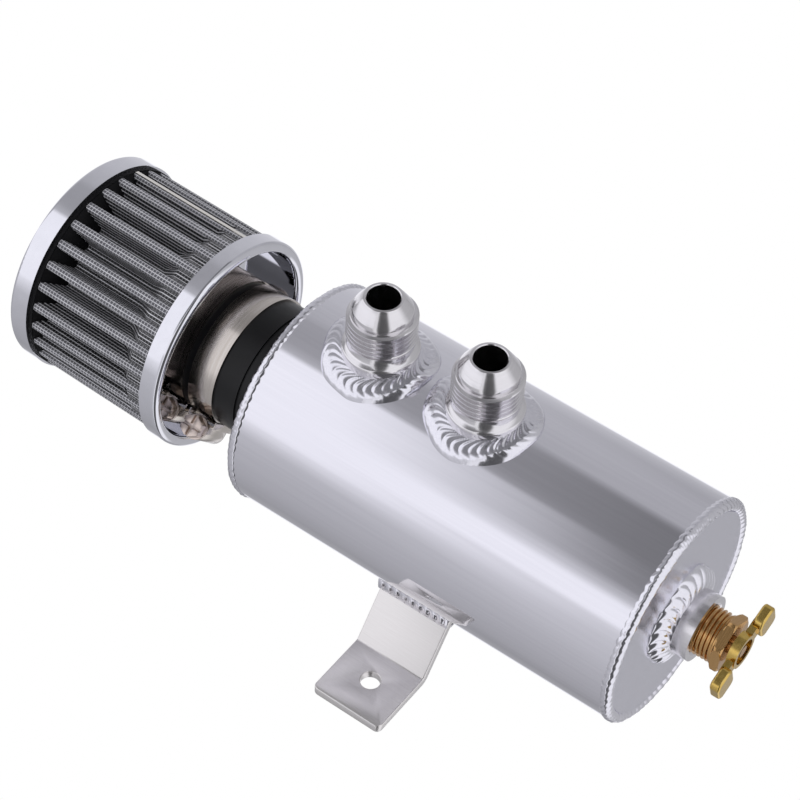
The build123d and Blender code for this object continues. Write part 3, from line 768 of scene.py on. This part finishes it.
add_piece("valve_hexagon", wrap(len(hex_rows), hex_columns, hexagon), DRAIN, "brass_body",
          sharp=30)

# Edges that bend more than this, in radians, are broken. Flatter joints of a face are dissolved
edge_bend = 0.6
flat_bend = radians(1)


def softened(node, width, slot, body="can"):
    """A pressed or machined piece with its sharp edges broken."""
    shape = bmesh.new()
    shape.from_mesh(frame["nodes"][node].data)
    bmesh.ops.remove_doubles(shape, verts=shape.verts, dist=merge_m)
    bmesh.ops.dissolve_limit(shape, angle_limit=flat_bend, verts=shape.verts, edges=shape.edges)
    edges = [
        edge for edge in shape.edges
        if len(edge.link_faces) == 2 and edge.calc_face_angle() > edge_bend
    ]
    bmesh.ops.bevel(shape, geom=edges, offset=width * MM, segments=2, profile=0.5,
                    affect="EDGES", material=-1, clamp_overlap=True)
    add_piece(node + "_finished", shape, frame["nodes"][node].matrix_world, slot, [node], body,
              sharp=35)


housing_edge = 0.22
screw_edge = 0.3
bracket_edge = 0.35
for which in ("lower", "upper"):
    softened(f"{which}_clamp_housing", housing_edge, "stainless_band")
    softened(f"{which}_clamp_screw", screw_edge, "zinc_screw", f"{which}_clamp_screw")
softened("bracket", bracket_edge, "brushed_aluminium")

# Camera: below the drain end and rolled, so that the can lies aslant in the picture
camera_place = (-0.4045, -0.6899, -0.27125)
camera_turn = -36.328
camera_rise = 21.379
camera_roll = -59.721
camera_data = bpy.data.cameras.new("camera")
camera_data.lens = 119.58
camera_data.sensor_width = 36.0
camera_data.clip_start = 0.05
camera = bpy.data.objects.new("camera", camera_data)
bpy.context.scene.collection.objects.link(camera)
turn = Matrix.Rotation(radians(camera_turn), 4, "Z")
tilt = Matrix.Rotation(radians(90 + camera_rise), 4, "X")
roll = Matrix.Rotation(radians(camera_roll), 4, "Z")
camera.matrix_world = Matrix.Translation(camera_place) @ turn @ tilt @ roll
bpy.context.scene.camera = camera
bpy.context.scene.view_settings.view_transform = "Standard"


def grey(level, red_green=1.0, blue=1.0):
    """A linear grey of a level of light, with its red and green and its blue scaled."""
    return (level * red_green, level * red_green, level * blue, 1.0)


def add_ramp(tree, position, stops):
    """A colour ramp through (position, colour) stops, the first of them at 0."""
    ramp = add_node(tree, "ValToRGB", {"Fac": position})
    elements = ramp.color_ramp.elements
    elements.remove(elements[1])
    elements[0].color = stops[0][1]
    for place, colour in stops[1:]:
        elements.new(place).color = colour
    return ramp


# Studio: a white tent with grey panels, seen by the metal, and a plain light for the rest.
# Each list gives the panels' levels by bearing in degrees, low and high in the tent
low_panels = [
    (-180, 0.62), (-167, 0.72), (-163, 0.98), (-146, 0.98), (-140, 0.60), (-128, 0.27),
    (-100, 0.21), (-60, 0.21), (-52, 0.44), (-20, 0.46), (0, 0.42), (20, 0.50), (36, 0.62),
    (40, 0.95), (55, 1.00), (68, 0.92), (74, 0.40), (92, 0.34), (106, 0.40), (130, 0.46),
    (150, 0.52), (164, 0.58),
]
high_panels = [
    (-180, 0.84), (-176, 0.98), (-160, 1.00), (-120, 1.00), (-104, 0.97), (-100, 0.50),
    (-92, 0.38), (-80, 0.36), (-64, 0.38), (-56, 0.46), (-40, 0.50), (-20, 0.55), (0, 0.58),
    (12, 0.62), (34, 0.68), (38, 0.96), (55, 1.00), (68, 0.90), (74, 0.40), (92, 0.36),
    (120, 0.44), (150, 0.50), (166, 0.56), (174, 0.72),
]

# The tent's cool tint, and how high the low panels end and the high ones begin
tent_red_green = 0.985
cool_blue = 1.04
low_panels_end = 0.26
high_panels_start = 0.38
plain_white = srgb("ffffff")
world = bpy.data.worlds.new("studio")
world.use_nodes = True
bpy.context.scene.world = world
sky = world.node_tree
sky.nodes.clear()
direction = add_node(sky, "TexCoord")
split = add_node(sky, "SeparateXYZ", {"Vector": direction.outputs["Generated"]})
bearing = add_node(sky, "Math", {
    0: split.outputs["Y"], 1: split.outputs["X"],
}, operation="ARCTAN2")
turns = add_node(sky, "Math", {0: bearing.outputs[0], 1: 1 / (2 * pi)}, operation="MULTIPLY")
around = add_node(sky, "Math", {0: turns.outputs[0], 1: 0.5}, operation="ADD")
tents = []
for panels in (low_panels, high_panels):
    closed_ring = [*panels, (180, panels[0][1])]
    tents.append(add_ramp(sky, around.outputs[0], [
        (angle / 360 + 0.5, grey(level, tent_red_green, cool_blue)) for angle, level in closed_ring
    ]))
rise = add_node(sky, "MapRange", {
    "Value": split.outputs["Z"], "From Min": low_panels_end, "From Max": high_panels_start,
})
walls = add_node(sky, "Mix", {
    0: rise.outputs[0], 6: tents[0].outputs["Color"], 7: tents[1].outputs["Color"],
}, data_type="RGBA")
path = add_node(sky, "LightPath")
plain = add_node(sky, "Background", {"Color": plain_white, "Strength": 1.0})
tent_light = add_node(sky, "Background", {"Color": walls.outputs[2], "Strength": 1.0})
white = add_node(sky, "Background", {"Color": plain_white, "Strength": 1.0})
lit = add_node(sky, "MixShader", {
    "Fac": path.outputs["Is Glossy Ray"], 1: plain.outputs[0], 2: tent_light.outputs[0],
})
direct = add_node(sky, "Math", {
    0: path.outputs["Is Camera Ray"], 1: path.outputs["Is Transmission Ray"],
}, operation="ADD", use_clamp=True)
seen = add_node(sky, "MixShader", {
    "Fac": direct.outputs[0], 1: lit.outputs[0], 2: white.outputs[0],
})
add_node(sky, "OutputWorld", {"Surface": seen.outputs[0]})

# Floor: white to the eye and it keeps the shadow. In the metal it shows a dark aisle beside the
# object and a grey side, as levels by distance in metres
aisle_levels = [
    (-4.0, 0.80), (-2.1, 0.95), (-1.8, 0.14), (-1.0, 0.09), (-0.42, 0.12), (-0.30, 0.95),
    (0.25, 0.95), (0.60, 0.50), (4.0, 0.42),
]
aisle_reach = 4.0
card_level = 0.8
floor_reach = 6.0
floor_height = -0.62
floor_material, floor_tree, _ = new_material("white_card")
floor_path = add_node(floor_tree, "LightPath")
looks = add_node(floor_tree, "Math", {
    0: floor_path.outputs["Is Camera Ray"], 1: floor_path.outputs["Is Glossy Ray"],
}, operation="ADD")
through = add_node(floor_tree, "Math", {
    0: looks.outputs[0], 1: floor_path.outputs["Is Transmission Ray"],
}, operation="ADD", use_clamp=True)
spot = add_node(floor_tree, "TexCoord")
spot_x = add_node(floor_tree, "SeparateXYZ", {"Vector": spot.outputs["Object"]})
across_floor = add_node(floor_tree, "MapRange", {
    "Value": spot_x.outputs["X"], "From Min": -aisle_reach, "From Max": aisle_reach,
})
aisle = add_ramp(floor_tree, across_floor.outputs[0], [
    ((x + aisle_reach) / (2 * aisle_reach), grey(level, blue=cool_blue))
    for x, level in aisle_levels
])
mirrored = add_node(floor_tree, "Mix", {
    0: floor_path.outputs["Is Glossy Ray"], 6: plain_white, 7: aisle.outputs["Color"],
}, data_type="RGBA")
card = add_node(floor_tree, "Mix", {
    0: through.outputs[0], 6: grey(card_level), 7: mirrored.outputs[2],
}, data_type="RGBA")
diffuse = add_node(floor_tree, "BsdfDiffuse", {"Color": card.outputs[2]})
floor_output = next(n for n in floor_tree.nodes if n.type == "OUTPUT_MATERIAL")
floor_tree.links.new(diffuse.outputs[0], floor_output.inputs["Surface"])
floor_mesh = bmesh.new()
bmesh.ops.create_grid(floor_mesh, x_segments=1, y_segments=1, size=floor_reach)
bmesh.ops.translate(floor_mesh, vec=(0, 0, floor_height), verts=floor_mesh.verts)
floor_data = bpy.data.meshes.new("floor")
floor_mesh.to_mesh(floor_data)
floor_mesh.free()
floor_data.materials.append(floor_material)
studio_floor = bpy.data.objects.new("floor", floor_data)
bpy.context.scene.collection.objects.link(studio_floor)
